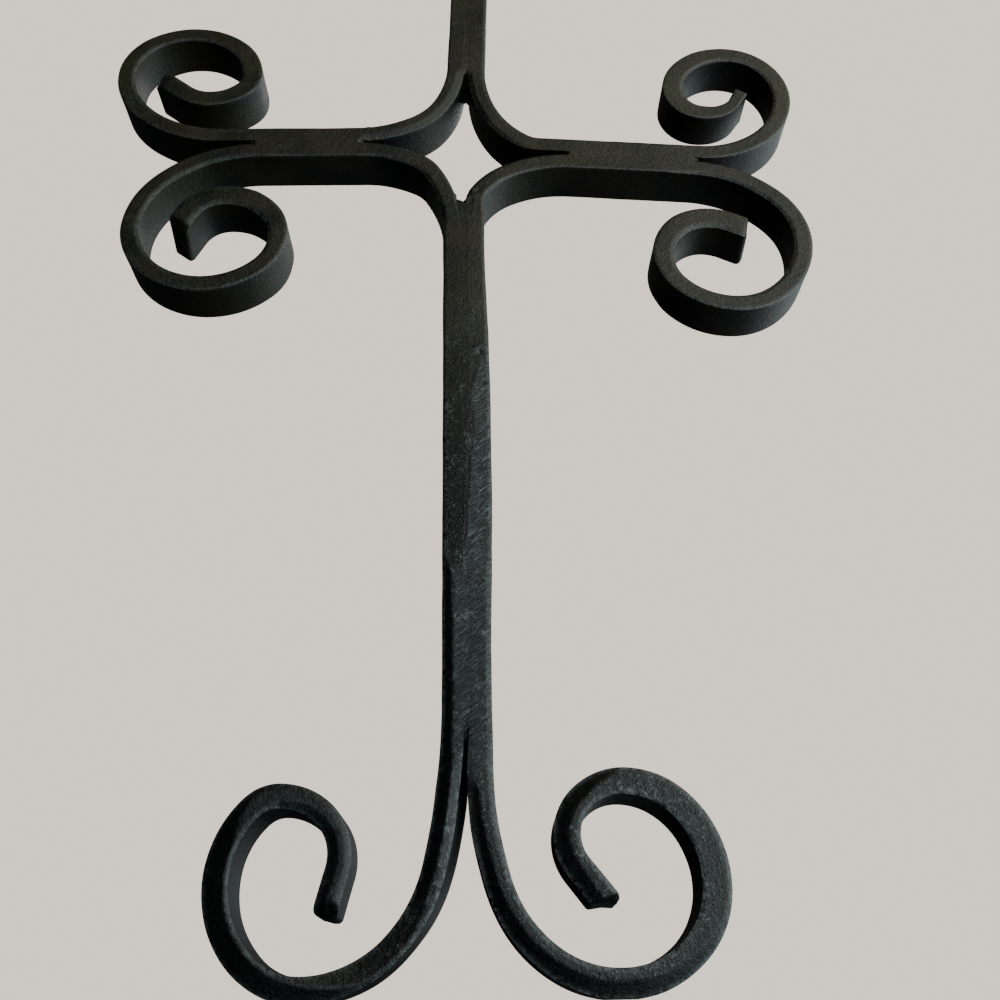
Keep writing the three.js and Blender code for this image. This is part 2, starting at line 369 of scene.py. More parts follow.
# What the noises, the wear and the strip add to the roughness and the bump, and how high that is in metres
ROUGH_SHARES = {"mottle": 0.30, "streak": 0.12, "patch": 0.16}
ROUGH_WORN = 0.12
ROUGH_STRIP = 0.5
BUMP_SHARES = {"mottle": 0.70, "streak": 0.12, "grain": 0.45}
BUMP_SCRATCHES = 0.90
BUMP_HEIGHT = 0.00040
SPECULAR = 0.42

# The room and its floor: how wide both are, and the bottom and top of each, in metres
ROOM_SIZE = 4.4
SURFACES = {"backdrop": (-2.2, 2.2), "floor": (-0.63, -0.62)}

# The studio's own light: its darkest colour, and soft patches by direction, colour and the cosines between
# which they grow. The one at the side is the brightest, and goes by height from black over cold to warm.
STUDIO_DARK = (0.0025, 0.003, 0.0035)
SIDE_PATCH = ((0.90, -0.43, 0.0), 0.18, 0.82)
SIDE_COLD = (1.50, 1.80, 1.85)
SIDE_WARM = (1.08, 1.05, 0.74)
SIDE_WARM_HEIGHT = (0.35, 0.62)
SIDE_BLACK_HEIGHT = (-0.85, -0.25)
STUDIO_PATCHES = (
    ((0.75, 0.62, 0.15), (0.52, 0.58, 0.60), 0.68, 1.0),
    ((0.1, 0.6, 0.8), (0.055, 0.052, 0.042), 0.55, 1.0),
    ((0.0, 0.55, -0.83), (0.20, 0.22, 0.22), 0.82, 1.0),
    ((-0.9, 0.4, 0.1), (0.018, 0.02, 0.021), 0.5, 1.0),
    ((-0.05, -0.60, 0.80), (0.34, 0.31, 0.15), 0.945, 1.0),
    ((0.27, -0.80, 0.54), (0.50, 0.48, 0.36), 0.975, 1.0),
    ((0.35, -0.93, 0.10), (0.60, 0.70, 0.70), 0.94, 1.0),
)

# The lamps: the place of each, its size, its share of the key power and its colour. All have one aim.
LAMPS = {
    "key": ((0.85, -0.75, -0.05), 0.6, 1.0, (0.90, 0.97, 1.0)),
    "top_front": ((0.62, -0.78, 0.75), 0.7, 0.28, (1.0, 0.93, 0.76)),
    "back": ((0.60, 0.90, 1.20), 0.7, 0.50, (0.95, 0.98, 1.0)),
}
LAMP_AIM = Vector((0.0, 0.0, -0.12))

# The camera: its tilt up, turn to the right and roll, its place, its lens, its sensor and its nearest view
CAMERA_ANGLES = (27.5477, 1.4159, -1.5029)
CAMERA_PLACE = (0.003433, -0.279314, -0.318834)
CAMERA_LENS = 36.5696
CAMERA_SENSOR = 36.0
CAMERA_NEAR = 0.01


def clamp(value, low=0.0, high=1.0):
    """The value, kept between two limits."""
    return max(low, min(high, value))


def ramp(value, start, end):
    """0 at the start, 1 at the end, and smooth between."""
    t = clamp((value - start) / (end - start))
    return t * t * (3.0 - 2.0 * t)


def between(stops, value):
    """The values of a table of stops at one distance, drawn straight between two stops."""
    if value <= stops[0][0]:
        return stops[0][1:]
    for low, high in zip(stops, stops[1:]):
        if value < high[0]:
            t = (value - low[0]) / (high[0] - low[0])
            return tuple(a + (b - a) * t for a, b in zip(low[1:], high[1:]))
    return stops[-1][1:]


def along(heading):
    """The direction of a heading in the plane of the cross."""
    return Vector((math.cos(math.radians(heading)), math.sin(math.radians(heading))))


def upright(point):
    """A point of the plane of the cross as a place in space."""
    return Vector((point.x, 0.0, point.y))


class Stretch:
    """One bend or straight of a bar, in the plane of the cross. A bend to the left turns by more than 0."""

    def __init__(self, start, heading, turn=0.0, radius=0.0, length=0.0):
        self.start = start
        self.heading = heading
        self.turn = turn
        self.radius = radius
        self.bend = math.copysign(1.0, turn)
        if turn:
            to_centre = heading + 90.0 * self.bend
            self.centre = start + along(to_centre) * radius
            self.end = self.centre - along(to_centre + turn) * radius
            self.length = radius * math.radians(abs(turn))
        else:
            self.centre = None
            self.end = start + along(heading) * length
            self.length = length

    def place(self, point):
        """How far along this stretch a point lies, how far to its left, and the heading there."""
        if not self.turn:
            offset = point - self.start
            return offset.dot(along(self.heading)), offset.dot(along(self.heading + 90.0)), self.heading
        spoke = point - self.centre
        first = self.start - self.centre
        angle = math.atan2(first.cross(spoke), first.dot(spoke)) * self.bend
        turned = max(angle, -BEND_SLACK)
        heading = self.heading + self.bend * math.degrees(turned)
        return turned * self.radius, self.bend * (self.radius - spoke.length), heading


def lay(start, heading, parts):
    """Lays bends and straights end to end. A part is a pair of radius and turn, or one length."""
    laid = []
    for part in parts:
        if isinstance(part, tuple):
            radius, turn = part
            stretch = Stretch(start, heading, turn=turn, radius=radius)
        else:
            stretch = Stretch(start, heading, length=part)
        laid.append(stretch)
        start = stretch.end
        heading += stretch.turn
    return laid


def scroll_parts(scroll, side):
    """The bends of a scroll that curls to one side, then its tip."""
    lead, radii, end, tip = scroll
    bends = [*lead, *((radius, 45.0) for radius in radii), end]
    return [*((radius, side * turn) for radius, turn in bends), tip]


def cut_tip(laid, tip_radius):
    """The stretches of a half, with its tip cut in two, so that the rounded end gets finer rings."""
    tip = laid[-1]
    body = Stretch(tip.start, tip.heading, length=tip.length - tip_radius)
    end = Stretch(body.end, tip.heading, length=tip_radius)
    return [*laid[:-1], body, end]


def turned_away(radius, past):
    """How far a wall has turned away from a line, some way past the start of its bend."""
    return radius - math.sqrt(radius ** 2 - past ** 2)


@dataclass
class Half:
    """Half a bar, from where the bend at the crossing leaves the stem to one tip."""

    laid: list
    curl: float
    seam_from: float
    seam_to: float
    run_in: float
    near_radius: float
    far_radius: float

    @property
    def length(self):
        """Its length to the end of the tip."""
        return sum(stretch.length for stretch in self.laid)

    def from_crossing(self, run):
        """The distance from the crossing, measured along the seam and on round the scroll."""
        return run - self.run_in + self.seam_from

    def parting(self, distance, half_thickness):
        """How far the wall by the seam has turned away from it, past either end of the straight."""
        if distance < self.seam_from:
            return turned_away(self.near_radius + half_thickness, self.seam_from - distance)
        return turned_away(self.far_radius + half_thickness, max(0.0, distance - self.seam_to))


def lay_bar(bar, thickness):
    """Both halves of a bar. The arm goes through the bend at the crossing, and the stem back from it."""
    stem_seam, stem_length, *stem_scroll = bar["stem"]
    arm_seam, arm_length, *arm_scroll = bar["arm"]
    stem_height, stem_heading = SEAMS[stem_seam]
    arm_height, outward = SEAMS[arm_seam]
    inward = stem_heading + 180.0
    turn = (outward - inward + 180.0) % 360.0 - 180.0
    side = math.copysign(1.0, turn)
    offset = side * (SEAM_GAP + thickness) / 2
    stem_origin = Vector((0.0, stem_height)) + along(inward + 90.0) * offset
    arm_origin = Vector((0.0, arm_height)) + along(outward + 90.0) * offset
    bends = [(radius, turn / len(bar["crossing"])) for radius in bar["crossing"]]

    # The bend slides along the stem until it runs out on the arm's line
    across = lay(Vector((0.0, 0.0)), inward, bends)[-1].end
    rest = arm_origin - stem_origin - across
    slide = rest.cross(along(outward)) / along(inward).cross(along(outward))
    start = stem_origin + along(inward) * slide
    arm_from = (start + across - arm_origin).dot(along(outward))
    stem_from = -slide

    arm = lay(start, inward, [*bends, arm_length - arm_from, *scroll_parts(arm_scroll, side)])
    stem = lay(start, stem_heading, [stem_length - stem_from, *scroll_parts(stem_scroll, -side)])
    bend_length = sum(stretch.length for stretch in arm[: len(bends)])
    arm_far_radius = arm[len(bends) + 1].radius
    return {
        "arm": Half(arm, side, arm_from, arm_length, bend_length, bends[-1][0], arm_far_radius),
        "stem": Half(stem, -side, stem_from, stem_length, 0.0, bends[0][0], stem[1].radius),
    }


def seam_point(seam, distance):
    """A point on a seam's line."""
    height, heading = SEAMS[seam]
    return Vector((0.0, height)) + along(heading) * distance


def lay_bars(thickness):
    """All the bars, and how far the crossing lies above the origin, at the lower end of the top weld."""
    laid = {name: lay_bar(bar, thickness) for name, bar in BARS.items()}
    end = max(laid[name]["stem"].seam_from for name in CROSSING_BARS) - WELD_RUN_OUT
    return laid, seam_point("top", end).y


def ground_depth(x, z):
    """How far the grinder took the front of the shaft down, and how strongly it marked it, at one place."""
    down = -z
    (edge,) = between(GROUND_EDGE, down)
    strength = ramp(down, *GROUND_START) * (1.0 - ramp(down, *GROUND_END))
    waver = WAVER * noise.noise(Vector((z / WAVER_LENGTH, *WAVER_SLICE)))
    beyond = x - edge - waver
    fork = ramp(down, *FORK_START) * (1.0 - ramp(down + FORK_SLANT * x, *FORK_END))
    fork_mark = fork * ramp(x, FORK_LEFT - GROUND_BLUR, FORK_LEFT + GROUND_BLUR)
    facet_mark = ramp(beyond, -GROUND_BLUR, GROUND_BLUR) * strength
    return max(0.0, beyond) * GROUND_SLOPE * strength, max(facet_mark, FORK_STRENGTH * fork_mark)


def roof_depth(x, z):
    """How far the front of the shaft slopes back from its ridge at one place."""
    ridge, left_slope, right_slope = between(ROOF, -z)
    on_shaft = 1.0 - ramp(abs(x), *ROOF_END)
    slope = left_slope if x < ridge else right_slope
    return math.sqrt((x - ridge) ** 2 + RIDGE_RADIUS ** 2) * slope * on_shaft


def bump_sum(bumps, x, z):
    """The height of a set of round bumps at one place."""
    total = 0.0
    for bump_x, bump_z, radius, height in bumps:
        distance = math.hypot(x - bump_x, z - bump_z)
        if distance < BUMP_REACH * radius:
            total += height * math.exp(-BUMP_FALL * (distance / radius) ** 2)
    return total


def worked_front(x, z, hammer, on_shaft):
    """How far back the front lies at one place, before its edges, and how strongly it is ground there."""
    depth = hammer * HAMMER_SINK + bump_sum(FRONT_MARKS, x, z)
    for length, level, strength in FRONT_WAVES:
        depth += hammer * strength * noise.noise(Vector((x / length, level, z / length)))
    if not on_shaft:
        return depth, 0.0
    ground, marked = ground_depth(x, z)
    return depth + ground + roof_depth(x, z), marked


def section_face(bm, width, depth, edge_radius, cuts):
    """A rounded section, drawn flat with its width along X and its depth along Y, front at the bottom."""
    made = bmesh.ops.create_grid(bm, x_segments=1, y_segments=1, size=0.5)
    bmesh.ops.scale(bm, vec=(width, depth, 1.0), verts=made["verts"])
    bmesh.ops.translate(bm, vec=(0.0, -depth / 2, 0.0), verts=made["verts"])
    if edge_radius:
        bmesh.ops.bevel(
            bm, geom=made["verts"], offset=edge_radius, offset_type="OFFSET", segments=CORNER_FACETS,
            profile=0.5, affect="VERTICES", material=-1,
        )
    sides = [edge for edge in bm.edges if edge.calc_length() > edge_radius]
    fronts = [edge for edge in sides if abs(edge.verts[0].co.y - edge.verts[1].co.y) < TINY]
    walls = [edge for edge in sides if edge not in fronts]
    bmesh.ops.delete(bm, geom=bm.faces[:], context="FACES_ONLY")
    cuts_across, cuts_deep = cuts
    bmesh.ops.subdivide_edges(bm, edges=fronts, cuts=cuts_across)
    bmesh.ops.subdivide_edges(bm, edges=walls, cuts=cuts_deep)
    bmesh.ops.edgeloop_fill(bm, edges=bm.edges[:])


def stand_up(bm, start, heading):
    """Turns the flat section so that it stands across a heading at a start, its depth along Y."""
    ahead = along(heading)
    left = upright(along(heading + 90.0))
    basis = Matrix((left, Vector((0.0, 1.0, 0.0)), -upright(ahead))).transposed().to_4x4()
    bmesh.ops.transform(bm, matrix=Matrix.Translation(upright(start)) @ basis, verts=bm.verts[:])


def spin_stretch(bm, section, stretch, step, keep_end=False):
    """Spins a section through one stretch. The tube is left open, or closed at its far end alone."""
    section_face(bm, *section)
    stand_up(bm, stretch.start, stretch.heading)
    steps = max(1, math.ceil(stretch.length / step))
    centre = upright(stretch.centre if stretch.turn else stretch.start)
    ahead = upright(along(stretch.heading)) * (0.0 if stretch.turn else stretch.length / steps)
    made = bmesh.ops.spin(
        bm, geom=bm.verts[:] + bm.edges[:] + bm.faces[:], cent=centre, axis=(0.0, -1.0, 0.0),
        angle=math.radians(stretch.turn), dvec=ahead, steps=steps, use_merge=False, use_duplicate=False,
    )
    caps = [face for face in bm.faces if len(face.verts) > 4]
    open_caps = [face for face in caps if not (keep_end and face in made["geom_last"])]
    bmesh.ops.delete(bm, geom=open_caps, context="FACES_ONLY")


def piece_layers(bm):
    """The layers that the paint reads: the place on the bar, the edge wear with its painted highlight, and
    the grinding.
    """
    layers = bm.verts.layers
    return layers.float_vector.new("bar_place"), layers.float.new("edge_wear_and_highlight"), layers.float.new("ground")


def join_part(whole, part):
    """Adds a finished stretch to the whole bar."""
    mesh = bpy.data.meshes.new("part")
    part.to_mesh(mesh)
    part.free()
    whole.from_mesh(mesh)
    bpy.data.meshes.remove(mesh)


def finish_mesh(bm, name, material):
    """Checks that a piece is closed, keeps it inside the solids' box, shades it and makes its object."""
    bmesh.ops.recalc_face_normals(bm, faces=bm.faces[:])
    open_edges = [edge for edge in bm.edges if not edge.is_manifold]
    if open_edges:
        raise RuntimeError(f"{name} isn't closed: {len(open_edges)} edges are open")
    bmesh.ops.scale(bm, vec=(MM, MM, MM), verts=bm.verts[:])
    lowest, highest = (Vector(corner) for corner in cad_box)
    for vert in bm.verts:
        vert.co = [clamp(*limits) for limits in zip(vert.co, lowest, highest)]
    for face in bm.faces:
        face.smooth = True
    mesh = bpy.data.meshes.new(name)
    bm.to_mesh(mesh)
    bm.free()
    mesh.set_sharp_from_angle(angle=math.radians(SHARP_TURN))
    mesh.materials.append(material)
    piece = bpy.data.objects.new(name, mesh)
    bpy.context.collection.objects.link(piece)
    return piece


class BarWorker:
    """Hammers, files and rounds a bent bar, by moving its vertices."""

    def __init__(self, name, halves, drop, bars):
        self.name = name
        self.halves = halves
        self.drop = drop
        self.half_width = bars.thickness / MM / 2
        self.depth = bars.depth / MM
        self.hammer = bars.hammer_depth / MM
        self.round = bars.tip_radius / MM
        self.edge = bars.edge_radius / MM

    def seam_hold(self, half, run):
        """1 where the bar lies against its seam, where its outer side has a sharp edge."""
        distance = half.from_crossing(run)
        by_start = 1.0 - ramp(run, 0.0, HOLD_LENGTH)
        past_end = ramp(distance, half.seam_to, half.seam_to + HOLD_LENGTH)
        by_seam = ramp(distance, half.seam_from - HOLD_LENGTH, half.seam_from) * (1.0 - past_end)
        return max(by_start, by_seam)

    def bevels(self, kind, run):
        """The width and drop of the outer and the inner bevel. The halves share those at their start."""
        stem = between(EDGES[self.name, "stem"], self.halves["stem"].seam_from)
        own = between(EDGES[self.name, kind], self.halves[kind].from_crossing(run))
        share = ramp(run, 0.0, SHARE_LENGTH)
        return tuple(first + (second - first) * share for first, second in zip(stem, own))

    def square_corner(self, inner, depth, hold):
        """The rounded corners of the outer side, made square as far as the seam holds them."""
        corner_inner = -(self.half_width - self.edge)
        for corner_y in (-(self.depth - self.edge), -self.edge):
            off_inner = inner - corner_inner
            off_y = depth - corner_y
            beyond = off_y <= TINY if corner_y < -self.depth / 2 else off_y >= -TINY
            reach = max(abs(off_inner), abs(off_y))
            if off_inner <= TINY and beyond and reach > TINY:
                factor = 1.0 + (self.edge / reach - 1.0) * hold
                return corner_inner + off_inner * factor, corner_y + off_y * factor
        return inner, depth

    def front(self, from_outer, from_inner, bevels, hold, sloped, x, z):
        """How far back the worked front lies at one place, and how strongly it is ground there."""
        outer_width, outer_drop, inner_width, inner_drop = bevels
        relief, marked = worked_front(x, z, self.hammer, self.name.startswith("lower"))
        bevel = max(
            outer_drop * clamp(1.0 - from_outer / outer_width) * (1.0 - hold),
            inner_drop * clamp(1.0 - from_inner / inner_width),
            TIP_SLOPE * max(0.0, sloped),
        )
        return -self.depth + relief + bevel, marked

    def wall(self, new_inner, inner, depth, run, hold, x, z):
        """The waves of the walls, and the weld spatter on the outer side."""
        share = abs(inner) / self.half_width
        level = WALL_SLICE + math.copysign(1.0, inner)
        uneven = noise.noise(Vector((run / WALL_WAVES[0], depth / WALL_WAVES[1], level)))
        new_inner += self.hammer * uneven * share * (1.0 - hold * (inner < 0.0))
        if inner < 0.0 and run < SPATTER_LENGTH:
            new_inner -= share * bump_sum(SPATTER, x, z) * ramp(depth, *SPATTER_FADE)
        return new_inner

    def spread(self, kind, new_inner, y, inner, depth, run):
        """The spread of the hammered bar, and its twist."""
        half = self.halves[kind]
        wider, more_inner, shallower = between(SPREADS.get((self.name, kind), NO_SPREAD), half.length - run)
        to_inner_side = clamp(0.5 + inner / self.half_width / 2)
        new_inner += more_inner * to_inner_side - wider * clamp(0.5 - inner / self.half_width / 2)
        y = -self.depth + (y + self.depth) * (1.0 - shallower / self.depth)
        to_inner, to_outer = between(TWISTS.get((self.name, kind), NO_TWIST), half.from_crossing(run))
        new_inner += to_inner * (-depth / self.depth) - to_outer * (1.0 + depth / self.depth)
        return new_inner, y

    def round_tip(self, new_inner, y, to_end):
        """The last millimetres before the end, rounded on all sides."""
        if to_end >= self.round:
            return new_inner, y
        inset = self.round - math.sqrt(max(0.0, self.round ** 2 - (self.round - to_end) ** 2))
        middle = -self.depth / 2
        narrower = (self.half_width - inset) / self.half_width
        return new_inner * narrower, middle + (y - middle) * (self.depth / 2 - inset) / (self.depth / 2)

    def work(self, kind, run, inner, depth, x, z):
        """How far a vertex moves ahead, to the inner side and back, its edge wear and painted edge highlight,
        and its ground mark.
        """
        half = self.halves[kind]
        bevels = self.bevels(kind, run)
        hold = self.seam_hold(half, run)
        to_end = half.length - run
        slant, back_run, sloped_length, longer = TIPS.get((self.name, kind), PLAIN_TIP)

        new_inner, y = self.square_corner(inner, depth, hold)
        from_outer = new_inner + self.half_width
        from_inner = self.half_width - new_inner
        front, marked = self.front(from_outer, from_inner, bevels, hold, sloped_length - to_end, x, z)
        y = max(y, front) if y < -self.depth / 2 else y
        new_inner = self.wall(new_inner, inner, depth, run, hold, x, z)
        new_inner, y = self.spread(kind, new_inner, y, inner, depth, run)
        new_inner, y = self.round_tip(new_inner, y, to_end)

        past = slant / 2 * (inner / self.half_width) + back_run * (1.0 + depth / self.depth)
        ahead = past * (1.0 - ramp(to_end, 0.0, SLANT_LENGTH))
        ahead += longer * (1.0 - ramp(to_end, 0.0, DRAW_LENGTH))
        inner_width = bevels[2]
        edge_distance = min(
            math.hypot(max(0.0, from_outer - EDGE_WEAR_AND_HIGHLIGHT_INSET) + SEAM_OFFSET * hold, y - front),
            math.hypot(max(0.0, from_inner - EDGE_WEAR_AND_HIGHLIGHT_INSET), y - front),
            abs(from_inner - inner_width) + abs(y - front) + RIDGE_OFFSET,
        )
        # Closeness to a front edge: worn paint, and a painted highlight along the edge
        wear_and_highlight = clamp(1.0 - edge_distance / EDGE_WEAR_AND_HIGHLIGHT_WIDTH)
        return ahead, new_inner - inner, y - depth, wear_and_highlight, marked

    def place_on_bar(self, kind, run, inner, depth):
        """A place along and across the seam that the bars and the weld share, so that streaks run on."""
        half = self.halves[kind]
        stem, arm = self.halves["stem"], self.halves["arm"]
        if kind == "stem":
            distance = half.from_crossing(run)
        elif run < half.run_in:
            bend_place = arm.seam_from + ARM_PLACE - stem.seam_from
            distance = stem.seam_from + bend_place * run / half.run_in
        else:
            distance = half.from_crossing(run) + ARM_PLACE
        side = 1.0 if self.name in POSITIVE_BARS else -1.0
        return Vector((distance, side * (inner + self.half_width + SEAM_GAP / 2), depth)) * MM


class CROSS_PG_bars(PropertyGroup):
    """Sizes of the flat bars."""

    thickness: FloatProperty(
        name="Thickness", description="Thickness of a bar from the front", default=0.0062, unit="LENGTH",
    )
    depth: FloatProperty(
        name="Depth", description="Depth of a bar, from the front to the wall", default=0.015, unit="LENGTH",
    )
    edge_radius: FloatProperty(
        name="Edge Radius", description="Rounding of the long edges", default=0.0005, unit="LENGTH",
    )
    tip_radius: FloatProperty(
        name="Tip Radius", description="Rounding of each tip", default=0.0016, unit="LENGTH",
    )
    hammer_depth: FloatProperty(
        name="Hammer Depth", description="How uneven the hammered faces are", default=0.00011, unit="LENGTH",
    )
    ring_step: FloatProperty(
        name="Ring Step", description="Distance between two rings of the mesh", default=0.0008, unit="LENGTH",
    )


class CROSS_PG_paint(PropertyGroup):
    """Colours of the paint."""

    black: FloatVectorProperty(
        name="Black", description="Colour of the paint", default=(0.0012, 0.0018, 0.0018), subtype="COLOR",
    )
    warm: FloatVectorProperty(
        name="Warm Film", description="Olive film on the upper part", default=(0.0150, 0.0135, 0.0058),
        subtype="COLOR",
    )
    # The light colour of the specks, dust, scratches and scuffs, which also serves as the painted highlight
    # on edges and in patches
    dust_and_highlight: FloatVectorProperty(
        name="Dust", description="Dust and worn specks", default=(0.165, 0.186, 0.192), subtype="COLOR",
    )
    rust: FloatVectorProperty(
        name="Rust", description="Rust on a few spots", default=(0.10, 0.055, 0.032), subtype="COLOR",
    )
    roughness: FloatProperty(
        name="Roughness", description="Roughness of the satin paint", default=0.38, subtype="FACTOR",
    )


class CROSS_PG_stage(PropertyGroup):
    """Colour of the room and power of the light."""

    backdrop: FloatVectorProperty(
        name="Backdrop", description="Colour of the backdrop and the floor", default=(1.25, 1.10, 0.95),
        subtype="COLOR",
    )
    key_power: FloatProperty(
        name="Key Power", description="Power of the light from the right", default=5.0, unit="POWER",
    )


class Socket:
    """A shader socket that takes part in Python expressions. Each operator adds one Math node."""

    def __init__(self, shader, link):
        self.shader = shader
        self.link = link

    def _math(self, operation, *values):
        return self.shader.node("ShaderNodeMath", {"operation": operation}, dict(enumerate(values)))

    def __add__(self, other):
        return self._math("ADD", self, other)

    def __sub__(self, other):
        return self._math("SUBTRACT", self, other)

    def __rsub__(self, other):
        return self._math("SUBTRACT", other, self)

    def __mul__(self, other):
        return self._math("MULTIPLY", self, other)

    __radd__ = __add__
    __rmul__ = __mul__

    def ramp(self, start, end):
        """0 at the start, 1 at the end, and smooth between."""
        values = {"Value": self, "From Min": start, "From Max": end}
        return self.shader.node("ShaderNodeMapRange", {"interpolation_type": "SMOOTHSTEP"}, values)


class Shader:
    """The node tree of one material or world."""

    def __init__(self, owner):
        owner.use_nodes = True
        self.tree = owner.node_tree
        self.tree.nodes.clear()

    def node(self, kind, settings=None, values=None, output=0):
        """Adds a node, sets its settings and then its sockets, and returns one of its outputs."""
        node = self.tree.nodes.new(kind)
        for name, value in (settings or {}).items():
            setattr(node, name, value)
        for name, value in (values or {}).items():
            if isinstance(value, Socket):
                self.tree.links.new(value.link, node.inputs[name])
            else:
                node.inputs[name].default_value = value
        return Socket(self, node.outputs[output]) if len(node.outputs) else node

    def mix(self, factor, first, second, blend="MIX"):
        """Mixes two colours, each given as a socket or as three numbers."""
        colours = [value if isinstance(value, Socket) else (*value, 1.0) for value in (first, second)]
        values = {0: factor, 6: colours[0], 7: colours[1]}
        return self.node("ShaderNodeMix", {"data_type": "RGBA", "blend_type": blend}, values, 2)

    def noise(self, place, scale, detail, roughness):
        """A noise from 0 to 1."""
        values = {"Vector": place, "Scale": scale, "Detail": detail, "Roughness": roughness}
        return self.node("ShaderNodeTexNoise", None, values)

    def stretched(self, place, scale):
        """A place scaled by different amounts along its axes."""
        return self.node("ShaderNodeVectorMath", {"operation": "MULTIPLY"}, {0: place, 1: scale})

    def attribute(self, name, output):
        """One output of an attribute of the mesh."""
        return self.node("ShaderNodeAttribute", {"attribute_name": name}, None, output)

    def coordinate(self, output):
        """One output of the texture coordinates: 0 is Generated, 1 is the normal and 3 is Object."""
        return self.node("ShaderNodeTexCoord", None, None, output)

    def parts(self, vector):
        """The X, Y and Z of a vector."""
        outputs = self.node("ShaderNodeSeparateXYZ", None, {0: vector}).link.node.outputs
        return [Socket(self, output) for output in outputs]


def weighted(noises, shares):
    """The sum of several noises, each times its share."""
    first, *rest = [share * noises[name] for name, share in shares.items()]
    for part in rest:
        first = first + part
    return first


def cross_paint(name, paint):
    """Satin black paint over forged iron: a warm film above, blue-grey specks below, and worn edges that also
    carry a painted highlight. Walls, bevels and the left of the foot keep fewer specks, as painted shade.
    """
    material = bpy.data.materials.new(name)
    shader = Shader(material)
    place = shader.coordinate(3)
    on_bar = shader.attribute("bar_place", 1)
    wear_and_highlight = shader.attribute("edge_wear_and_highlight", 2)
    ground = shader.attribute("ground", 2)
    across, _, height = shader.parts(place)
    run, beside, _ = shader.parts(on_bar)
    forward = shader.parts(shader.coordinate(1))[1] * -1.0

    # Where things are: the lower part, the painted shade on the left of the foot, the strip over the weld,
    # and the faces that look forward, off which the specks are held back as painted shade
    below = 1.0 - height.ramp(*LOWER_TOP)
    # Painted shade: the left of the lower foot keeps few light specks and scuffs, so that it reads darker
    outside_foot_shade = FOOT_SHADE_SHARE + (1.0 - FOOT_SHADE_SHARE) * across.ramp(*FOOT_SHADE_SIDE)
    in_strip = run.ramp(*STRIP_START) * (1.0 - run.ramp(*STRIP_END)) * below
    strip = (1.0 - (beside * beside).ramp(*STRIP_SIDE)) * in_strip
    # Painted shade: walls and bevels keep only a share of the light specks and dust, so that they read darker
    # than the fronts
    unshaded_facing = SHADED_FACE_SHARE + (1.0 - SHADED_FACE_SHARE) * forward.ramp(*UNSHADED_FACING)
    specks_outside_painted_shade = unshaded_facing * (1.0 - below * (1.0 - outside_foot_shade))

    noises = {key: shader.noise(place, *values) for key, values in NOISES.items()}
    noises["streak"] = shader.noise(shader.stretched(on_bar, STREAK_STRETCH), *STREAK_NOISE)
    turn = (0.0, math.radians(SCRATCH_SLANT), 0.0)
    turned = shader.node("ShaderNodeMapping", None, {"Vector": place, "Rotation": turn})
    scratches = shader.noise(shader.stretched(turned, SCRATCH_STRETCH), *SCRATCH_NOISE).ramp(*SCRATCH_EDGE)

    film = (1.0 - below) * noises["blotch"].ramp(*FILM_EDGE)
    # Patches of more specks: partly real specks, partly painted patchy highlights
    speck_and_highlight_patches = SPOT_LEAST + SPOT_MORE * noises["patch"].ramp(*SPOT_HIGHLIGHT_PATCHES)
    spotted = weighted(noises, SPOT_SHARES).ramp(*SPOT_EDGE) * speck_and_highlight_patches * (SPOTTED[0] + SPOTTED[1] * below)
    dusty = noises["grain"].ramp(*DUST_EDGE) * (DUSTED[0] + DUSTED[1] * below) * specks_outside_painted_shade
    # Lighter scuffs along the front edges: partly worn paint, partly a painted edge highlight. Painted shade
    # keeps them few on the left of the foot.
    scuffs_and_edge_highlight = wear_and_highlight * noises["mottle"].ramp(*SCUFF_AND_HIGHLIGHT_EDGE) * (SCUFFS_AND_EDGE_HIGHLIGHT[0] + SCUFFS_AND_EDGE_HIGHLIGHT[1] * below * outside_foot_shade)
    rusty = noises["rust"].ramp(*RUST_EDGE) * RUSTED * below
    colour = shader.mix(film, paint.black, paint.warm)
    for amount in (spotted * specks_outside_painted_shade, dusty, scuffs_and_edge_highlight):
        colour = shader.mix(amount, colour, paint.dust_and_highlight)
    colour = shader.mix(rusty, colour, paint.rust)
    colour = shader.mix(ground * scratches * SCRATCHED, colour, paint.dust_and_highlight)

    rough = paint.roughness
    for key, share in ROUGH_SHARES.items():
        rough = rough + share * (noises[key] - 0.5)
    rough = rough - ROUGH_WORN * wear_and_highlight + ROUGH_STRIP * strip
    bumps = weighted(noises, BUMP_SHARES) + BUMP_SCRATCHES * ground * scratches
    normal = shader.node("ShaderNodeBump", None, {"Strength": 1.0, "Distance": BUMP_HEIGHT, "Height": bumps})
    surface = shader.node(
        "ShaderNodeBsdfPrincipled",
        None,
        {"Base Color": colour, "Roughness": rough, "Normal": normal, "Specular IOR Level": SPECULAR},
    )
    shader.node("ShaderNodeOutputMaterial", None, {"Surface": surface})
    return material


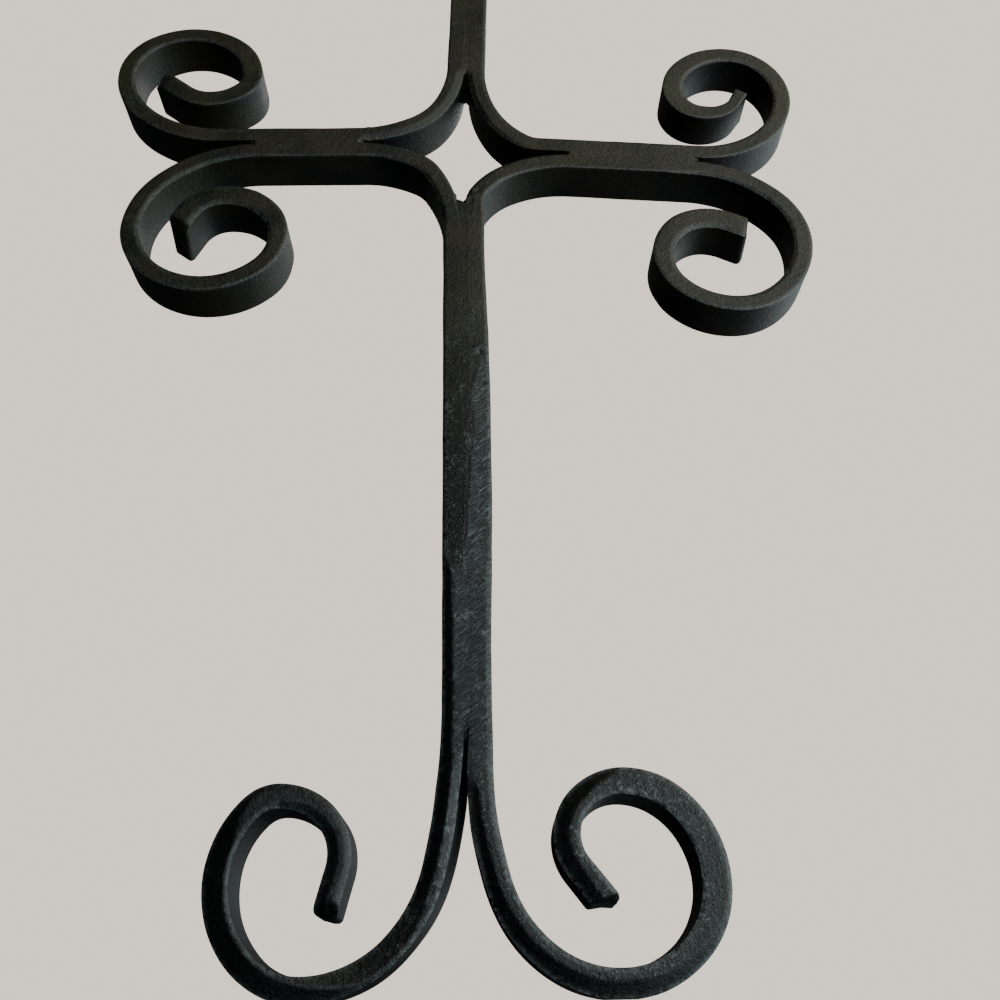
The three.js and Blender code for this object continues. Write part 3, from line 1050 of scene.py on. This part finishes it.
class CROSS_OT_bars(Operator):
    """Bend the four flat bars into their scrolls"""

    bl_idname = "cross.bars"
    bl_label = "Bend Bars"

    def execute(self, context):
        bars = context.scene.cross_bars
        laid_bars, drop = lay_bars(bars.thickness / MM)
        paint = cross_paint("bar_paint", context.scene.cross_paint)
        for name, halves in laid_bars.items():
            piece = self.bend(BarWorker(name, halves, drop, bars), bars, paint)
            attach(piece, "root")
            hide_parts(name)
        return {"FINISHED"}

    def bend(self, worker, bars, paint):
        """Spins each stretch of one bar from its section, works its surface, and joins the stretches."""
        whole = bmesh.new()
        section = (bars.thickness / MM, bars.depth / MM, bars.edge_radius / MM, BAR_CUTS)
        for kind, half in worker.halves.items():
            run = 0.0
            stretches = cut_tip(half.laid, bars.tip_radius / MM)
            for stretch in stretches:
                is_end = stretch is stretches[-1]
                step = stretch.length / TIP_RINGS if is_end else bars.ring_step / MM
                part = bmesh.new()
                layers = piece_layers(part)
                spin_stretch(part, section, stretch, step, is_end)
                for vert in part.verts:
                    self.work_vertex(worker, layers, kind, stretch, run, vert)
                join_part(whole, part)
                run += stretch.length
        rims = [vert for vert in whole.verts if vert.is_boundary]
        bmesh.ops.remove_doubles(whole, verts=rims, dist=MERGE_DISTANCE)
        bmesh.ops.translate(whole, vec=(0.0, 0.0, -worker.drop), verts=whole.verts[:])
        return finish_mesh(whole, worker.name.replace("bar", "scroll_bar"), paint)

    def work_vertex(self, worker, layers, kind, stretch, run, vert):
        """Hammers and files one vertex where it lies on the bar, and notes its place, its edge wear and
        painted edge highlight, and its grinding.
        """
        distance, left, heading = stretch.place(Vector((vert.co.x, vert.co.z)))
        curl = worker.halves[kind].curl
        inner = left * curl
        depth = vert.co.y
        x, z = vert.co.x, vert.co.z - worker.drop
        ahead, to_inner, back, worn_and_highlit, marked = worker.work(kind, run + distance, inner, depth, x, z)
        vert.co += upright(along(heading)) * ahead + upright(along(heading + 90.0)) * (to_inner * curl)
        vert.co.y += back
        place, wear_and_highlight, ground = layers
        vert[place] = worker.place_on_bar(kind, run + distance, inner + to_inner, depth + back)
        vert[wear_and_highlight] = worn_and_highlit
        vert[ground] = marked


class CROSS_OT_welds(Operator):
    """Lay the four welds between the bars"""

    bl_idname = "cross.welds"
    bl_label = "Lay Welds"

    def execute(self, context):
        bars = context.scene.cross_bars
        laid_bars, drop = lay_bars(bars.thickness / MM)
        paint = cross_paint("weld_paint", context.scene.cross_paint)
        for node, (seam, left, right, kind) in WELDS.items():
            halves = (laid_bars[left][kind], laid_bars[right][kind])
            piece = self.lay_weld(node, seam, halves, drop, bars, paint)
            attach(piece, "root")
            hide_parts(node)
        return {"FINISHED"}

    def lay_weld(self, node, seam, halves, drop, bars, paint):
        """One weld: a strip that fills the gap along its seam, with rough ends in the corners."""
        on_shaft = node == "shaft_weld"
        heading = SEAMS[seam][1]
        low = max(half.seam_from for half in halves) - (SHAFT_WELD_RISE if on_shaft else WELD_RUN_OUT)
        high = min(half.seam_to for half in halves) + WELD_RUN_OUT
        depth = bars.depth / MM
        hammer = bars.hammer_depth / MM
        half_thickness = bars.thickness / MM / 2
        half_gap = SEAM_GAP / 2
        positive, place_from = (-1.0, 0.0) if halves[0].run_in == 0.0 else (1.0, ARM_PLACE)
        start = seam_point(seam, low)
        bm = bmesh.new()
        place, wear_and_highlight, ground = piece_layers(bm)
        strip = Stretch(start, heading, length=high - low)
        spin_stretch(bm, (SEAM_GAP, depth, 0.0, WELD_CUTS), strip, WELD_STEP)
        bmesh.ops.holes_fill(bm, edges=bm.edges[:], sides=0)
        ahead = upright(along(heading))
        left = upright(along(heading + 90.0))
        for vert in bm.verts:
            offset = vert.co - upright(start)
            distance = low + offset.dot(ahead)
            across = offset.dot(left)
            y = vert.co.y
            x, z = vert.co.x, vert.co.z - drop
            share = across / half_gap

            # The ends, rough where the bead stopped, and the slope down to the back at the foot
            near = clamp(1.0 - (distance - low) / NEAR_LENGTH)
            far = clamp(1.0 - (high - distance) / FAR_LENGTH)
            rough = noise.noise(Vector((x / PIT_SIZE, y / PIT_SIZE_DEEP, z / PIT_SIZE)))
            ahead_by = (near * NEAR_HOLLOW - far * FAR_HOLLOW) * (1.0 - abs(share))
            ahead_by += END_ROUGHNESS * (near + far) * rough
            if on_shaft:
                to_back = 1.0 + y / depth
                ahead_by += ramp(distance, high - FOOT_LENGTH, high) * (FOOT_SLOPE * to_back - FOOT_CUT)

            # The strip widens with the gap where the bars part, and reaches a little into both
            beside = halves[0] if across > 0.0 else halves[1]
            width = half_gap + WELD_OVERLAP + beside.parting(distance + ahead_by, half_thickness)
            new_across = share * width

            sink, marked = worked_front(x, z, hammer, on_shaft)
            sink += WELD_SINK + NEAR_SINK * near ** 2 + FAR_SINK * far + END_PITS * (near + far) * rough
            new_y = max(y, -depth + sink) if y < -depth / 2 else y
            vert.co += ahead * ahead_by + left * (new_across - across) + Vector((0.0, new_y - y, 0.0))
            vert[place] = Vector((distance + ahead_by + place_from, positive * new_across, y)) * MM
            vert[wear_and_highlight] = 0.0
            vert[ground] = marked
        bmesh.ops.translate(bm, vec=(0.0, 0.0, -drop), verts=bm.verts[:])
        return finish_mesh(bm, node.replace("weld", "weld_bead"), paint)


class CROSS_OT_stage(Operator):
    """Set up the pale room, its floor, the lights and the camera"""

    bl_idname = "cross.stage"
    bl_label = "Set Stage"

    def execute(self, context):
        stage = context.scene.cross_stage
        for name, (low, high) in SURFACES.items():
            self.surface(name, low, high, stage.backdrop)
        self.world(context.scene)
        self.lights(stage)
        self.camera(context.scene)
        return {"FINISHED"}

    def surface(self, name, low, high, colour):
        """A plain block or room that the camera sees, and that the iron doesn't reflect."""
        bm = bmesh.new()
        made = bmesh.ops.create_cube(bm, size=ROOM_SIZE)
        bmesh.ops.scale(bm, vec=(1.0, 1.0, (high - low) / ROOM_SIZE), verts=made["verts"])
        bmesh.ops.translate(bm, vec=(0.0, 0.0, (low + high) / 2), verts=made["verts"])
        mesh = bpy.data.meshes.new(name)
        bm.to_mesh(mesh)
        bm.free()
        material = bpy.data.materials.new(name)
        shader = Shader(material)
        glow = shader.node("ShaderNodeEmission", None, {"Color": (*colour, 1.0), "Strength": 1.0})
        shader.node("ShaderNodeOutputMaterial", None, {"Surface": glow})
        mesh.materials.append(material)
        piece = bpy.data.objects.new(name, mesh)
        piece.visible_glossy = False
        piece.visible_diffuse = False
        piece.visible_shadow = False
        bpy.context.collection.objects.link(piece)

    def world(self, scene):
        """The light that the iron reflects: soft patches in a dark studio, the brightest on the right."""
        world = bpy.data.worlds.new("studio")
        scene.world = world
        shader = Shader(world)
        direction = shader.coordinate(0)
        height = shader.parts(direction)[2]
        side_tint = shader.mix(height.ramp(*SIDE_WARM_HEIGHT), SIDE_COLD, SIDE_WARM)
        side_tint = shader.mix(height.ramp(*SIDE_BLACK_HEIGHT), (0.0, 0.0, 0.0), side_tint)
        side, side_start, side_end = SIDE_PATCH
        colour = STUDIO_DARK
        for patch, tint, start, end in ((side, side_tint, side_start, side_end), *STUDIO_PATCHES):
            values = {0: direction, 1: Vector(patch).normalized()}
            facing = shader.node("ShaderNodeVectorMath", {"operation": "DOT_PRODUCT"}, values, 1)
            colour = shader.mix(facing.ramp(start, end), colour, tint, "ADD")
        background = shader.node("ShaderNodeBackground", None, {"Color": colour, "Strength": 1.0})
        shader.node("ShaderNodeOutputWorld", None, {"Surface": background})

    def lights(self, stage):
        """A soft key light from the right, a weak one from above the front, and one for the back."""
        for name, (place, size, share, tint) in LAMPS.items():
            light = bpy.data.lights.new(name, "AREA")
            light.energy = stage.key_power * share
            light.size = size
            light.color = tint
            lamp = bpy.data.objects.new(name, light)
            lamp.location = place
            lamp.rotation_euler = (LAMP_AIM - Vector(place)).to_track_quat("-Z", "Y").to_euler()
            lamp.visible_camera = False
            bpy.context.collection.objects.link(lamp)

    def camera(self, scene):
        """The camera, low, close and tilted up."""
        pitch, yaw, roll = (math.radians(angle) for angle in CAMERA_ANGLES)
        turns = ((-yaw, "Z"), (math.pi / 2 + pitch, "X"), (roll, "Z"))
        aside, tilt, lean = (Matrix.Rotation(angle, 4, axis) for angle, axis in turns)
        lens = bpy.data.cameras.new("camera")
        lens.lens = CAMERA_LENS
        lens.sensor_width = CAMERA_SENSOR
        lens.clip_start = CAMERA_NEAR
        camera = bpy.data.objects.new("camera", lens)
        camera.matrix_world = Matrix.Translation(CAMERA_PLACE) @ aside @ tilt @ lean
        bpy.context.collection.objects.link(camera)
        scene.camera = camera


class CROSS_PT_panel(Panel):
    """Sidebar panel with the steps and sizes of the cross"""

    bl_idname = "CROSS_PT_panel"
    bl_label = "Wrought Iron Cross"
    bl_space_type = "VIEW_3D"
    bl_region_type = "UI"
    bl_category = "Cross"

    def draw(self, context):
        layout = self.layout
        for operator in OPERATORS:
            layout.operator(operator.bl_idname)
        for group in SETTINGS:
            settings = getattr(context.scene, group)
            for name in settings.__annotations__:
                layout.prop(settings, name)


SETTINGS = {"cross_bars": CROSS_PG_bars, "cross_paint": CROSS_PG_paint, "cross_stage": CROSS_PG_stage}
OPERATORS = (CROSS_OT_bars, CROSS_OT_welds, CROSS_OT_stage)
CLASSES = (*SETTINGS.values(), *OPERATORS, CROSS_PT_panel)


def register():
    """Registers the classes and gives each scene its settings."""
    for item in CLASSES:
        bpy.utils.register_class(item)
    for name, group in SETTINGS.items():
        setattr(bpy.types.Scene, name, PointerProperty(type=group))


def unregister():
    """Takes the settings and classes away again."""
    for name in SETTINGS:
        delattr(bpy.types.Scene, name)
    for item in reversed(CLASSES):
        bpy.utils.unregister_class(item)


def main():
    """Builds the cross and its stage."""
    register()
    bpy.ops.cross.bars()
    bpy.ops.cross.welds()
    bpy.ops.cross.stage()


if __name__ == "__main__":
    main()
